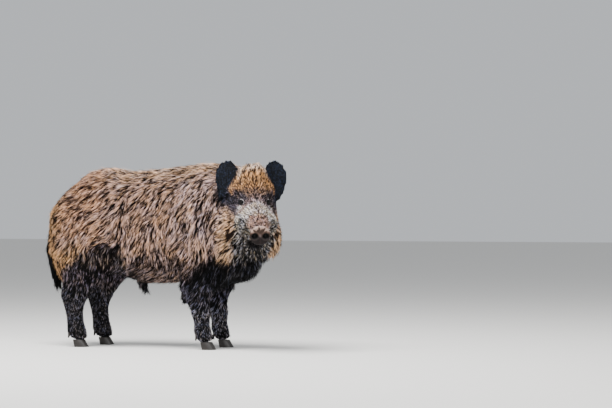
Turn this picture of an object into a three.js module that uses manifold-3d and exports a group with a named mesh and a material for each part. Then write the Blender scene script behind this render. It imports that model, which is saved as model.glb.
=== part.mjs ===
// A life-size wild boar, standing with its head turned to its own right.
//
// Millimetres, +X towards the chest, +Y to the animal's left, +Z up, soles on z = 0. The flesh is one
// smooth field of rounded masses, measured to the tips of the winter coat. The field is turned into
// closed meshes, and thin cuts part them where a person would name the parts: trunk, neck, head, lower
// jaw, tail and legs. Ears, eyes, snout disc, hooves and dewclaws are pieces of their own.

import * as THREE from "three";
import { mergeVertices } from "three/addons/utils/BufferGeometryUtils.js";
import Module from "manifold-3d";

const wasm = await Module();
wasm.setup();

// ---------------------------------------------------------------- driving dimensions

const GAP = 0.4; // between touching pieces
const WITHERS = 838; // top of the coat over the shoulders
const HIP_TOP = 826; // top of the coat over the pelvis
const HALF_TRACK_FRONT = 104; // forelegs from the midline
const HALF_TRACK_HIND = 110; // hind legs from the midline
const FORE_FEET = { right: 220, left: 214 }; // X of each front cannon
const HIND_FEET = { right: -412, left: -392 }; // X of each hind cannon

const HEAD_TURN = 58.4; // degrees to the right of the body's own direction
const HEAD_PITCH = 25; // degrees nose down, along the snout
const NOSE = new THREE.Vector3(588, -304, 515); // centre of the snout disc
const DISC_TILT = 11; // degrees that the disc looks up from the snout's axis
const DISC = { halfWidth: 46, halfHeight: 44, depth: 16, drop: 3 }; // its middle is below the nostrils

const EYE_RADIUS = 12.5;
const EYE = { x: -217, y: 54, z: 56 }; // place in the head, behind, beside and above the snout disc
const EAR = { length: 208, halfWidth: 65, halfThickness: 6.5, cup: 26 };

const COLOURS = {
  trunk: "#917c6f",
  neck: "#84726d",
  head: "#9e775a",
  jaw: "#4c474c",
  leg: "#2a282e",
  foot: "#26242a",
  tail: "#2b2729",
  ear: "#1c202b",
  eye: "#1a1310",
  disc: "#7a6660",
  hoof: "#1b191b",
};

// ---------------------------------------------------------------- frames and masses

const radians = THREE.MathUtils.degToRad;
const SIDES = { right: -1, left: 1 };

// A frame holds an origin and three axes: forward, left and up.
function frameAt(origin, turn = 0, pitch = 0) {
  const matrix = new THREE.Matrix4().makeRotationFromEuler(
    new THREE.Euler(0, radians(pitch), radians(-turn), "ZYX"),
  );
  const axes = [new THREE.Vector3(), new THREE.Vector3(), new THREE.Vector3()];
  matrix.extractBasis(...axes);
  matrix.setPosition(origin);
  return { matrix, inverse: matrix.clone().invert(), forward: axes[0], left: axes[1], up: axes[2] };
}

const BODY = frameAt(new THREE.Vector3());
const HEAD = frameAt(NOSE, HEAD_TURN, HEAD_PITCH);
const SNOUT = frameAt(NOSE, HEAD_TURN, HEAD_PITCH - DISC_TILT);

function place(frame, [x, y, z]) {
  return new THREE.Vector3(x, y, z).applyMatrix4(frame.matrix);
}

// How far p, given along the axes of an oval mass, lies outside it. Negative inside.
function ovalDistance(x, y, z, rx, ry, rz) {
  const share = Math.hypot(x / rx, y / ry, z / rz);
  const slope = Math.hypot(x / rx ** 2, y / ry ** 2, z / rz ** 2);
  return slope > 0 ? (share * (share - 1)) / slope : -Math.min(rx, ry, rz);
}

// An egg-shaped mass: centre and half sizes along the frame's axes.
function egg(frame, centre, [rx, ry, rz]) {
  const c = place(frame, centre);
  const { forward, left, up } = frame;
  const q = new THREE.Vector3();
  return (p) => {
    q.subVectors(p, c);
    return ovalDistance(q.dot(forward), q.dot(left), q.dot(up), rx, ry, rz);
  };
}

// A tapered bar with round ends. Each end has a half width and a half height.
function bar(frame, from, to, [widthA, heightA], [widthB, heightB]) {
  const a = place(frame, from);
  const along = place(frame, to).sub(a);
  const length = along.length();
  along.normalize();
  const steep = Math.abs(along.dot(frame.up)) > 0.8; // an upright bar is as high as it is long
  const side = new THREE.Vector3()
    .crossVectors(steep ? frame.forward : frame.up, along)
    .normalize();
  if (steep) side.multiplyScalar(Math.sign(side.dot(frame.left)));
  const high = new THREE.Vector3().crossVectors(along, side);
  const q = new THREE.Vector3();
  return (p) => {
    q.subVectors(p, a);
    const run = q.dot(along);
    const t = THREE.MathUtils.clamp(run / length, 0, 1);
    const width = THREE.MathUtils.lerp(widthA, widthB, t);
    const height = THREE.MathUtils.lerp(heightA, heightB, t);
    const end = Math.min(width, height);
    return ovalDistance(q.dot(side), q.dot(high), run - t * length, width, height, end);
  };
}

// Joins masses with a fillet about `round` wide.
function blend(round, fields) {
  return (p) =>
    fields.reduce((sum, field) => {
      const next = field(p);
      const h = Math.max(round - Math.abs(sum - next), 0) / round;
      return Math.min(sum, next) - (h * h * round) / 4;
    }, Infinity);
}

const both = (make) => Object.values(SIDES).flatMap(make);

// ---------------------------------------------------------------- the flesh, out to the coat's tips

function trunkField() {
  return blend(46, [
    egg(BODY, [0, 0, WITHERS - 268], [440, 176, 244]), // rib cage
    egg(BODY, [-24, 0, 474], [346, 158, 182]), // belly
    egg(BODY, [-288, 0, HIP_TOP - 214], [206, 150, 212]), // pelvis
    egg(BODY, [200, 0, WITHERS - 150], [250, 104, 150]), // withers
    egg(BODY, [330, -14, 458], [146, 122, 174]), // brisket
    ...both((s) => [
      egg(BODY, [-384, s * 90, 516], [168, 88, 222]), // haunch
      egg(BODY, [-462, s * 46, 602], [98, 84, 64]), // seat
      egg(BODY, [-432, s * 92, 376], [76, 54, 96]), // fringe of the buttock
      egg(BODY, [212, s * 88, 556], [146, 84, 224]), // shoulder
    ]),
  ]);
}

function neckField() {
  return blend(40, [
    bar(BODY, [262, 4, 622], [440, -40, 668], [128, 208], [84, 160]),
    bar(BODY, [310, -6, 520], [454, -70, 556], [106, 130], [86, 104]), // throat
  ]);
}

function headField() {
  return blend(26, [
    bar(HEAD, [-30, 0, 2], [-135, 0, 16], [42, 35], [58, 52]), // snout
    bar(HEAD, [-110, 0, 38], [-240, 0, 74], [38, 38], [50, 53]), // nose bone
    bar(HEAD, [-246, 0, 84], [-318, 0, 128], [58, 62], [56, 66]), // brow and crown
    egg(HEAD, [-297, 0, 80], [58, 104, 54]), // forehead, out to the hair before the ears
    bar(HEAD, [-60, 0, -38], [-180, 0, -84], [28, 22], [56, 52]), // lower jaw
    bar(HEAD, [-98, 0, -70], [-194, 0, -136], [36, 34], [62, 66]), // beard
    egg(HEAD, [-236, 0, -112], [104, 84, 84]), // throat
    ...both((s) => [
      egg(HEAD, [-168, s * 46, -2], [76, 42, 48]), // muzzle side
      egg(HEAD, [-128, s * 50, -14], [66, 45, 44]), // lip over the canine tooth
      egg(HEAD, [-318, s * 26, 114], [44, 40, 82]), // flat top of the crown
      egg(HEAD, [-266, s * 60, 44], [52, 34, 44]), // cheek bone
      egg(HEAD, [-268, s * 62, -22], [84, 50, 78]), // chewing muscle
      egg(HEAD, [-250, s * 94, -122], [66, 46, 96]), // whiskers of the cheek
    ]),
  ]);
}

// A foreleg from elbow to pastern. x is where its cannon stands.
function forelegField(s, x) {
  const y = s * HALF_TRACK_FRONT;
  return blend(24, [
    bar(BODY, [x + 8, y, 430], [x - 8, y, 300], [54, 80], [42, 60]),
    bar(BODY, [x - 8, y, 300], [x - 2, y, 168], [42, 56], [33, 42]),
    egg(BODY, [x - 54, y, 278], [66, 28, 88]), // fringe behind the forearm
    egg(BODY, [x + 22, y, 330], [62, 44, 96]), // front of the forearm
    bar(BODY, [x - 2, y, 168], [x + 2, y, 82], [33, 42], [30, 37]),
    bar(BODY, [x + 2, y, 80], [x + 26, y, 40], [33, 38], [35, 36]),
  ]);
}

function hindLegField(s, x) {
  const y = s * HALF_TRACK_HIND;
  return blend(30, [
    bar(BODY, [-352, s * 92, 462], [-336, y, 356], [78, 138], [60, 94]), // thigh
    bar(BODY, [-340, y, 352], [x - 10, y, 232], [58, 92], [41, 60]), // second thigh
    bar(BODY, [x - 8, y, 240], [x + 6, y, 86], [37, 54], [30, 39]),
    bar(BODY, [x + 6, y, 84], [x + 36, y, 40], [33, 38], [35, 36]),
  ]);
}

// The tail hangs close behind the buttocks and ends in a tassel.
function tailField() {
  return blend(20, [
    bar(BODY, [-514, 0, 664], [-572, 0, 610], [20, 20], [18, 18]),
    bar(BODY, [-572, 0, 610], [-583, -4, 440], [18, 20], [21, 29]),
    bar(BODY, [-583, -4, 440], [-554, -10, 320], [21, 29], [18, 24]),
    bar(BODY, [-554, -10, 320], [-532, -16, 256], [17, 23], [4, 5]),
  ]);
}

// The tuft of hair on the sheath, under the belly.
const sheathField = () => bar(BODY, [-116, 0, 312], [-100, 0, 250], [20, 30], [5, 6]);

const flesh = blend(40, [
  blend(30, [
    trunkField(),
    ...Object.entries(SIDES).flatMap(([side, s]) => [
      forelegField(s, FORE_FEET[side]),
      hindLegField(s, HIND_FEET[side]),
    ]),
  ]),
  neckField(),
  headField(),
]);

// ---------------------------------------------------------------- from fields and shapes to solids

// A closed mesh as a solid that can be cut and joined.
function solidOf(geometry) {
  const bare = geometry.clone();
  for (const name of Object.keys(bare.attributes)) {
    if (name !== "position") bare.deleteAttribute(name);
  }
  const merged = mergeVertices(bare, 1e-3);
  return new wasm.Manifold(
    new wasm.Mesh({
      numProp: 3,
      vertProperties: merged.attributes.position.array,
      triVerts: new Uint32Array(merged.index.array),
    }),
  );
}

function geometryOf(solid) {
  const { vertProperties, triVerts } = solid.getMesh();
  const geometry = new THREE.BufferGeometry();
  geometry.setAttribute("position", new THREE.BufferAttribute(new Float32Array(vertProperties), 3));
  geometry.setIndex(new THREE.BufferAttribute(new Uint32Array(triVerts), 1));
  geometry.computeVertexNormals();
  return geometry;
}

// The same solid with its surface moved outwards, to cut a neighbour with clearance.
function swollen(solid, by = GAP) {
  const geometry = geometryOf(solid);
  const { position, normal } = geometry.attributes;
  for (let i = 0; i < position.count; i++) {
    position.setXYZ(
      i,
      position.getX(i) + by * normal.getX(i),
      position.getY(i) + by * normal.getY(i),
      position.getZ(i) + by * normal.getZ(i),
    );
  }
  return solidOf(geometry);
}

// The largest piece of a solid that a cut has left in several.
function largest(solid) {
  return solid.decompose().sort((a, b) => b.volume() - a.volume())[0];
}

function fieldSlope(field, p) {
  const step = 1;
  const q = p.clone();
  const slope = new THREE.Vector3();
  for (const axis of ["x", "y", "z"]) {
    q[axis] = p[axis] + step;
    const ahead = field(q);
    q[axis] = p[axis] - step;
    slope[axis] = (ahead - field(q)) / (2 * step);
    q[axis] = p[axis];
  }
  return slope;
}

// Moves p onto the field's surface, by no more than `reach`.
function settle(field, p, reach) {
  const start = p.clone();
  for (let n = 0; n < 4; n++) {
    const slope = fieldSlope(field, p);
    p.addScaledVector(slope, -field(p) / Math.max(slope.lengthSq(), 0.05));
  }
  const move = p.clone().sub(start);
  p.copy(start).add(move.clampLength(0, reach));
}

// A cube's corners are numbered 0 to 7, one bit for each axis, and an edge by its two corners.
const BITS = [1, 2, 4];
const CORNERS = [...Array(8).keys()].map((n) => BITS.map((bit) => (n & bit ? 1 : 0)));
const edgeOf = (a, b) => 8 * Math.min(a, b) + Math.max(a, b);
const FACES = [0, 1, 2].flatMap((axis) => {
  const u = BITS[(axis + 1) % 3];
  const v = BITS[(axis + 2) % 3];
  return [0, BITS[axis]].map((base) => [base, base | u, base | u | v, base | v]);
});

// Groups the edges that the surface crosses in one cube into the separate sheets it forms there.
function sheetsIn(inside) {
  const sheetOf = new Map();
  const join = (a, b) => {
    const [one, other] = [sheetOf.get(a) ?? [a], sheetOf.get(b) ?? [b]];
    if (one === other) return;
    const sheet = [...one, ...other];
    for (const edge of sheet) sheetOf.set(edge, sheet);
  };
  for (const ring of FACES) {
    const rim = ring.map((corner, n) => edgeOf(corner, ring[(n + 1) % 4]));
    const crossed = rim.filter((_, n) => inside[ring[n]] !== inside[ring[(n + 1) % 4]]);
    if (crossed.length === 2) join(...crossed);
    if (crossed.length === 4) {
      ring.forEach((corner, n) => inside[corner] && join(rim[(n + 3) % 4], rim[n]));
    }
  }
  return new Set(sheetOf.values());
}

// Every whole-number place in a block of this many steps.
function* places([nx, ny, nz]) {
  for (let k = 0; k < nz; k++)
    for (let j = 0; j < ny; j++) for (let i = 0; i < nx; i++) yield [i, j, k];
}

// Wraps the field's surface, inside a box along the frame's axes, in a mesh of cells of this size.
// Each sheet of surface in a cell gets one vertex, and each crossed grid edge one square face.
function wrap(field, frame, low, high, cell) {
  const counts = low.map((l, n) => Math.ceil((high[n] - l) / cell[n]) + 1);
  const at = ([i, j, k]) => i + counts[0] * (j + counts[1] * k);
  const plus = (a, b) => a.map((value, n) => value + b[n]);
  const point = (at3) => place(frame, at3.map((steps, n) => low[n] + steps * cell[n]));
  const values = new Float32Array(counts[0] * counts[1] * counts[2]);
  for (const here of places(counts)) {
    const rim = here.some((steps, n) => steps === 0 || steps === counts[n] - 1);
    values[at(here)] = rim ? cell[0] / 2 : field(point(here));
  }

  const vertexOf = new Map();
  const positions = [];
  const reach = Math.min(...cell) * 0.6;
  for (const here of places(counts.map((count) => count - 1))) {
    const value = CORNERS.map((corner) => values[at(plus(here, corner))]);
    for (const sheet of sheetsIn(value.map((v) => v < 0))) {
      const p = new THREE.Vector3();
      for (const edge of sheet) {
        const [a, b] = [edge >> 3, edge & 7];
        const from = point(plus(here, CORNERS[a]));
        const to = point(plus(here, CORNERS[b]));
        p.addScaledVector(from.lerp(to, value[a] / (value[a] - value[b])), 1 / sheet.length);
        vertexOf.set(64 * at(here) + edge, positions.length / 3);
      }
      const rim = here.some((steps, n) => steps === 0 || steps === counts[n] - 2);
      if (!rim) settle(field, p, reach);
      positions.push(p.x, p.y, p.z);
    }
  }

  const index = [];
  const corner = (v) => new THREE.Vector3().fromArray(positions, v * 3);
  for (const here of places(counts.map((count) => count - 1))) {
    const inside = values[at(here)] < 0;
    for (let axis = 0; axis < 3; axis++) {
      const along = BITS[axis];
      if (inside === values[at(plus(here, CORNERS[along]))] < 0) continue;
      const u = BITS[(axis + 1) % 3];
      const v = BITS[(axis + 2) % 3];
      const around = [0, u, u | v, v].map((base) => {
        const cube = here.map((steps, n) => steps - CORNERS[base][n]);
        return vertexOf.get(64 * at(cube) + edgeOf(base, base | along));
      });
      const [a, b, c, d] = inside ? around : around.reverse();
      const shortAC = corner(a).distanceTo(corner(c)) < corner(b).distanceTo(corner(d));
      index.push(...(shortAC ? [a, b, c, a, c, d] : [a, b, d, b, c, d]));
    }
  }
  const geometry = new THREE.BufferGeometry();
  geometry.setAttribute("position", new THREE.Float32BufferAttribute(positions, 3));
  geometry.setIndex(index);
  return solidOf(geometry);
}

// ---------------------------------------------------------------- the cuts

const HUGE = 3000;

// All space on the far side of a plane, as a solid, set back from it by half a gap.
function beyond({ point, normal }, gap) {
  const box = new THREE.BoxGeometry(HUGE, HUGE, HUGE);
  box.translate(0, 0, HUGE / 2 + gap / 2);
  const turn = new THREE.Quaternion().setFromUnitVectors(
    new THREE.Vector3(0, 0, 1),
    normal.clone().normalize(),
  );
  box.applyQuaternion(turn);
  box.translate(point.x, point.y, point.z);
  return solidOf(box);
}

const plane = (point, normal) => ({
  point: new THREE.Vector3(...point),
  normal: new THREE.Vector3(...normal),
});
const region = (planes, gap = GAP) =>
  planes.map((p) => beyond(p, gap)).reduce((sum, next) => sum.intersect(next));
const around = (planes) => region(planes, -GAP);

const nape = plane([424, -52, 676], [0.766, -0.643, -0.1]);
const throat = {
  point: place(HEAD, [-250, 0, -212]),
  normal: HEAD.up.clone().addScaledVector(HEAD.forward, 0.35),
};
const headPlanes = [nape, throat];
const mouth = { point: place(HEAD, [-66, 0, -28]), normal: HEAD.up.clone().negate() };
mouth.normal.applyAxisAngle(HEAD.left, radians(4));
const jawHinge = { point: place(HEAD, [-186, 0, -60]), normal: HEAD.forward };
const jawPlanes = [mouth, jawHinge];
const neckPlanes = [plane([296, 0, 720], [0.8, -0.14, 0.6])];

function legPlanes(side) {
  const s = SIDES[side];
  const midline = plane([0, 0, 0], [0, s, 0]);
  return {
    front: [
      plane([100, 0, 0], [1, 0, 0]),
      plane([292, 0, 0], [-1, 0, 0]),
      plane([0, 0, 296], [0, 0, -1]),
      midline,
    ],
    hind: [plane([-196, 0, 0], [-1, 0, 0]), plane([-300, 0, 352], [-0.42, 0, -1]), midline],
  };
}
const KNEE = 172;
const HOCK = 236;
const belowKnee = plane([0, 0, KNEE], [0, 0, -1]);
const belowHock = plane([0, 0, HOCK], [0, 0, -1]);

// ---------------------------------------------------------------- small parts

// One of a foot's two hooves: a pointed oval sole with walls that lean back.
function hoof(x, y, s) {
  const length = 56;
  const half = 14;
  const height = 34;
  const sole = new THREE.Shape();
  sole.moveTo(-length / 2, -half * 0.7);
  sole.quadraticCurveTo(0, -half * 1.25, length / 2, -s * 5);
  sole.quadraticCurveTo(length * 0.42, half * 0.9, 0, half);
  sole.quadraticCurveTo(-length * 0.5, half * 1.05, -length / 2, -half * 0.7);
  const geometry = new THREE.ExtrudeGeometry(sole, {
    depth: height,
    steps: 1,
    curveSegments: 5,
    bevelEnabled: false,
  });
  const { position } = geometry.attributes;
  for (let i = 0; i < position.count; i++) {
    const rise = position.getZ(i) / height;
    position.setX(i, position.getX(i) * (1 - 0.22 * rise) - 15 * rise);
    position.setY(i, position.getY(i) * (1 - 0.12 * rise));
  }
  return geometry.translate(x + 40, y + s * 15, 0);
}

// A dewclaw: a small blunt cone behind the pastern.
function dewclaw(x, y, s) {
  const geometry = new THREE.CylinderGeometry(8, 3, 26, 8, 1);
  geometry.rotateX(Math.PI / 2).scale(1, 1.2, 1);
  geometry.rotateY(radians(16)).rotateZ(s * radians(6));
  return geometry.translate(x - 19, y + s * 17, 53);
}

// An ear: a flattened ball drawn out to a leaf, cupped forwards, as long as its fringe of hair.
function ear(s) {
  const ball = new THREE.SphereGeometry(1, 14, 10);
  const { position } = ball.attributes;
  const p = new THREE.Vector3();
  for (let i = 0; i < position.count; i++) {
    p.fromBufferAttribute(position, i);
    const along = (p.y + 1) / 2; // 0 at the root and 1 at the tip
    const across = p.x * EAR.halfWidth * (0.75 + 0.42 * along); // widest above the middle
    const bow = EAR.cup * ((across / EAR.halfWidth) ** 2 - 0.5) * (1 - 0.55 * along);
    position.setXYZ(i, bow + p.z * EAR.halfThickness, s * across, along * EAR.length);
  }
  const geometry = ball.toNonIndexed();
  if (s < 0) turnFacesRound(geometry);
  return geometry;
}

function turnFacesRound(geometry) {
  const { array } = geometry.attributes.position;
  for (let i = 0; i < array.length; i += 9) {
    for (let n = 0; n < 3; n++) {
      [array[i + 3 + n], array[i + 6 + n]] = [array[i + 6 + n], array[i + 3 + n]];
    }
  }
}

// The snout disc: an oval pad with a raised rim and two nostrils.
function snoutDisc() {
  const { halfWidth, halfHeight, depth, drop } = DISC;
  const rim = halfWidth;
  const profile = [
    [0, 0],
    [rim * 0.86, 0],
    [rim * 0.97, depth * 0.3],
    [rim, depth * 0.62],
    [rim * 0.93, depth * 0.95],
    [rim * 0.78, depth * 1.06],
    [rim * 0.6, depth],
    [0, depth * 0.92],
  ].map(([r, h]) => new THREE.Vector2(r, h));
  const pad = new THREE.LatheGeometry(profile, 20);
  pad.scale(halfHeight / halfWidth, 1, 1);
  pad.rotateZ(-Math.PI / 2).rotateX(Math.PI / 2);
  pad.translate(-depth, 0, -drop);
  const nostrils = both((s) => {
    const hole = new THREE.SphereGeometry(1, 8, 6);
    hole.scale(13, 10.5, 8).rotateZ(s * radians(12));
    return [hole.translate(2, s * 24.5, -2)];
  });
  return nostrils.reduce((sum, hole) => sum.subtract(solidOf(hole)), solidOf(pad));
}

// ---------------------------------------------------------------- assembly

const boar = new THREE.Group();

function add(name, geometryOrSolid, colour, roughness = 0.9) {
  const geometry = geometryOrSolid.isBufferGeometry
    ? geometryOrSolid
    : geometryOf(geometryOrSolid);
  const material = new THREE.MeshStandardMaterial({ color: colour, roughness, metalness: 0 });
  const mesh = new THREE.Mesh(geometry, material);
  mesh.name = name;
  boar.add(mesh);
}

const inHead = (geometry) => geometry.applyMatrix4(HEAD.matrix);

const eyeCentre = (s) => place(HEAD, [EYE.x, s * EYE.y, EYE.z]);

// Snout disc and eyes.
const disc = snoutDisc().transform(SNOUT.matrix.elements);
const discBack = {
  point: place(SNOUT, [-DISC.depth, 0, 0]),
  normal: SNOUT.forward.clone().negate(),
};
add("snout_disc", disc, COLOURS.disc, 0.55);

const eyes = {};
for (const [side, s] of Object.entries(SIDES)) {
  const { x, y, z } = eyeCentre(s);
  const ball = (radius) => new THREE.SphereGeometry(radius, 12, 8).translate(x, y, z);
  eyes[side] = solidOf(ball(EYE_RADIUS + GAP));
  add(`eye_${side}`, ball(EYE_RADIUS), COLOURS.eye, 0.15);
}

// Head and lower jaw.
const headFlesh = wrap(flesh, HEAD, [-410, -200, -260], [20, 200, 240], [22, 21, 22]);
const headAndJaw = headFlesh.intersect(region(headPlanes)).intersect(beyond(discBack, GAP));
const head = headAndJaw.subtract(around(jawPlanes)).subtract(eyes.right).subtract(eyes.left);
add("head", head, COLOURS.head);
add("lower_jaw", largest(headAndJaw.intersect(region(jawPlanes))), COLOURS.jaw);

// Neck.
const neckFlesh = wrap(flesh, BODY, [170, -280, 330], [620, 220, 900], [40, 38, 40]);
const neck = neckFlesh.intersect(region(neckPlanes)).subtract(around(headPlanes));
add("neck", neck, COLOURS.neck);

// Ears stand on the head and neck.
for (const [side, s] of Object.entries(SIDES)) {
  const leaf = ear(s);
  leaf.rotateX(s * radians(-2)).rotateZ(s * radians(16)).rotateY(radians(-25));
  leaf.translate(-292, s * 101, 2);
  const whole = solidOf(inHead(leaf));
  const shown = whole.subtract(swollen(headFlesh)).subtract(swollen(neckFlesh));
  add(`ear_${side}`, largest(shown), COLOURS.ear);
}

// Trunk, tail and sheath.
const trunkFlesh = wrap(flesh, BODY, [-640, -260, 150], [540, 260, 900], [62, 52, 58]);
const legRegions = Object.keys(SIDES).flatMap((side) => Object.values(legPlanes(side)));
const trunk = [neckPlanes, headPlanes, ...legRegions].reduce(
  (left, planes) => left.subtract(around(planes)),
  trunkFlesh,
);
add("trunk", trunk, COLOURS.trunk);
const trunkCutter = swollen(trunkFlesh);
const tail = wrap(tailField(), BODY, [-650, -50, 230], [-480, 50, 710], [15, 14, 30]);
add("tail", largest(tail.subtract(trunkCutter)), COLOURS.tail);
const sheath = wrap(sheathField(), BODY, [-160, -40, 230], [-60, 40, 360], [12, 12, 18]);
add("sheath", largest(sheath.subtract(trunkCutter)), COLOURS.trunk);

// Legs, each with two hooves and two dewclaws.
for (const [side, s] of Object.entries(SIDES)) {
  const legs = {
    front: { x: FORE_FEET[side], y: s * HALF_TRACK_FRONT, joint: belowKnee, width: 130 },
    hind: { x: HIND_FEET[side], y: s * HALF_TRACK_HIND, joint: belowHock, width: 200 },
  };
  for (const [end, { x, y, joint, width }] of Object.entries(legs)) {
    const planes = legPlanes(side)[end];
    const low = [x - width, Math.min(0, s * 240) - 20, 10];
    const high = [x + width + 30, Math.max(0, s * 240) + 20, 520];
    const whole = wrap(flesh, BODY, low, high, [31, 28, 43]).intersect(region(planes));
    const claws = both((inner) => [
      [`hoof_${end}_${side}_${inner < 0 ? "right" : "left"}`, hoof(x, y, inner)],
      [`dewclaw_${end}_${side}_${inner < 0 ? "right" : "left"}`, dewclaw(x, y, inner)],
    ]);
    const foot = claws.reduce(
      (left, [, claw]) => left.subtract(swollen(solidOf(claw))),
      whole.intersect(beyond(joint, GAP)),
    );
    add(`leg_${end}_${side}`, largest(whole.subtract(beyond(joint, -GAP))), COLOURS.leg);
    add(`foot_${end}_${side}`, foot, COLOURS.foot);
    for (const [name, claw] of claws) add(name, claw, COLOURS.hoof, 0.6);
  }
}

// The origin is on the floor, under the middle of the animal's box.
const box = new THREE.Box3().setFromObject(boar);
const centre = box.getCenter(new THREE.Vector3());
boar.position.set(-centre.x, -centre.y, -box.min.z);

export default boar;
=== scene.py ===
# %% [markdown]
# # A wild boar in its winter coat
# A still, life-size museum model of a young male boar that stands and looks to its right. The packed
# part gives its flesh as separate solids, out to the tips of the coat. Here they become one hide with a
# face, and about a hundred and fifty thousand small tufts of hair grow on it. Metres, +X towards the
# chest, +Y to the animal's left, +Z up.

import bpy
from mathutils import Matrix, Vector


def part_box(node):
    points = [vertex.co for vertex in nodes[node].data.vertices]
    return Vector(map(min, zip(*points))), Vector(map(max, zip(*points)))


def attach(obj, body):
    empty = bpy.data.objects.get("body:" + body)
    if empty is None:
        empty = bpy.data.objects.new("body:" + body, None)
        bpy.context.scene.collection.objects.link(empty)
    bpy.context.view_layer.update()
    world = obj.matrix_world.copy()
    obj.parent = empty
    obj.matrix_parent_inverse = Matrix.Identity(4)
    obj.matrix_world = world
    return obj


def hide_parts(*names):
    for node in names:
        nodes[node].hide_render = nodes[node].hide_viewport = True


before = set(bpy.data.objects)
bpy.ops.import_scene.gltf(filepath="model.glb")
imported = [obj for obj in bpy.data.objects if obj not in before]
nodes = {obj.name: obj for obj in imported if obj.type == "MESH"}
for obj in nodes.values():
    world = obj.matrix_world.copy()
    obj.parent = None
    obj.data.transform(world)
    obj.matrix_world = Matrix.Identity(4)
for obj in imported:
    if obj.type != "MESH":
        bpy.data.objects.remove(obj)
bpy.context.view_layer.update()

# %% Libraries and small helpers
import math

import bpy
import numpy as np
from mathutils import Vector
from mathutils.bvhtree import BVHTree
from mathutils.kdtree import KDTree

MM = 0.001
SIDES = {"right": -1, "left": 1}
MERGE_GAP = 0.01 * MM  # a solid's triangles are loose, and points this close are one


def array(*values):
    """A vector that numpy can work with."""
    return np.array(values, float)


def unit(v):
    """Vectors along the last axis, made one long."""
    return v / np.maximum(np.linalg.norm(v, axis=-1, keepdims=True), 1e-9)


def ramp(start, end, x):
    """0 before start and 1 after end, with a soft turn between. Start may be the larger."""
    t = np.clip((x - start) / (end - start), 0, 1)
    return t * t * (3 - 2 * t)


def linear(colour):
    """An sRGB hex colour such as "8a7060" as linear red, green and blue."""
    value = np.array([int(colour[n : n + 2], 16) / 255 for n in (0, 2, 4)])
    return np.where(value <= 0.04045, value / 12.92, ((value + 0.055) / 1.055) ** 2.4)


def points_of(obj):
    """All of a mesh's points as an array."""
    co = np.empty(len(obj.data.vertices) * 3)
    obj.data.vertices.foreach_get("co", co)
    return co.reshape(-1, 3)


def normals_of(obj):
    """All of a mesh's point normals as an array."""
    co = np.empty(len(obj.data.vertices) * 3, np.float32)
    obj.data.vertex_normals.foreach_get("vector", co)
    return co.reshape(-1, 3).astype(float)


def move_points(obj, co):
    """Puts a mesh's points at new places."""
    obj.data.vertices.foreach_set("co", co.ravel())
    obj.data.update()


def only(*objects):
    """Selects these objects and nothing else, and makes the first one active."""
    bpy.ops.object.select_all(action="DESELECT")
    for obj in objects:
        obj.select_set(True)
    bpy.context.view_layer.objects.active = objects[0]


def finish_with(obj, kind, **settings):
    """Adds a modifier with these settings and applies it."""
    modifier = obj.modifiers.new(kind.title(), kind)
    for name, value in settings.items():
        setattr(modifier, name, value)
    only(obj)
    bpy.ops.object.modifier_apply(modifier=modifier.name)


def copy_of(names, title):
    """One loose mesh made from copies of these CAD solids, with their points merged."""
    only(*[nodes[name] for name in names])
    bpy.ops.object.duplicate()
    if len(names) > 1:
        bpy.ops.object.join()
    made = bpy.context.view_layer.objects.active
    made.name = made.data.name = title
    made.parent = None
    for key in list(made.keys()):
        del made[key]
    only(made)
    bpy.ops.object.mode_set(mode="EDIT")
    bpy.ops.mesh.select_all(action="SELECT")
    bpy.ops.mesh.remove_doubles(threshold=MERGE_GAP)
    bpy.ops.object.mode_set(mode="OBJECT")
    made.data.materials.clear()
    return made


# %% [markdown]
# ## Landmarks
# A furred animal has no straight edges to measure from, so a taxidermist works from landmarks: the line
# down the middle of the body, the middle of the snout disc, the eyes. They give two sets of axes, one
# for the body and one for the turned head, and everything after this is placed by them.

# %% Landmarks
def middle(name):
    """The middle of a solid's box."""
    low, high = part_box(name)
    return np.array((low + high) / 2)


hooves = [name for name in nodes if name.startswith("hoof_")]
feet = np.mean([middle(name) for name in hooves], axis=0)
BODY_ORIGIN = array(feet[0] + 56.6 * MM, feet[1], 0)  # on the floor, under the rib cage
EYES = {side: middle(f"eye_{side}") for side in SIDES}
DISC = middle("snout_disc")

SNOUT_ABOVE_EYE_LINE = math.radians(15.8)  # from the line between eye and disc up to the snout's axis
head_left = unit(EYES["left"] - EYES["right"])
eye_line = DISC - (EYES["left"] + EYES["right"]) / 2
eye_line = unit(eye_line - head_left * (eye_line @ head_left))
above = np.cross(eye_line, head_left)
head_forward = eye_line * math.cos(SNOUT_ABOVE_EYE_LINE) + above * math.sin(SNOUT_ABOVE_EYE_LINE)
HEAD_AXES = np.array([head_forward, head_left, np.cross(head_forward, head_left)])
HEAD_ORIGIN = DISC + HEAD_AXES[0] * 8 * MM + HEAD_AXES[2] * 3 * MM  # level with the nostrils


def in_body(points):
    """Places measured from the floor under the rib cage."""
    return points - BODY_ORIGIN


def in_head(points):
    """Places measured forward, left and up from the front of the snout disc."""
    return (points - HEAD_ORIGIN) @ HEAD_AXES.T


print("the snout points", HEAD_AXES[0].round(3), "and the eyes are at", in_head(EYES["left"]).round(3))

# %% [markdown]
# ## Camera, light and floor
# The boar is seen from its right and a little ahead, from the height of its own eyes, with a long lens
# from eleven metres away. A large soft lamp overhead, a second one ahead and a pale room stand in for a
# bright, overcast sky: that light shows each lock of hair by the shadow under it.

# %% Camera
CAMERA_AROUND = math.radians(25)  # ahead of square on to the right flank
CAMERA_AWAY = 11.0
CAMERA_HEIGHT = 0.65
CAMERA_ASIDE = math.radians(3.29)  # it is turned past the boar, towards what the boar looks at
LENS = 142.4  # mm, on a sensor 36 mm wide

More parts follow.
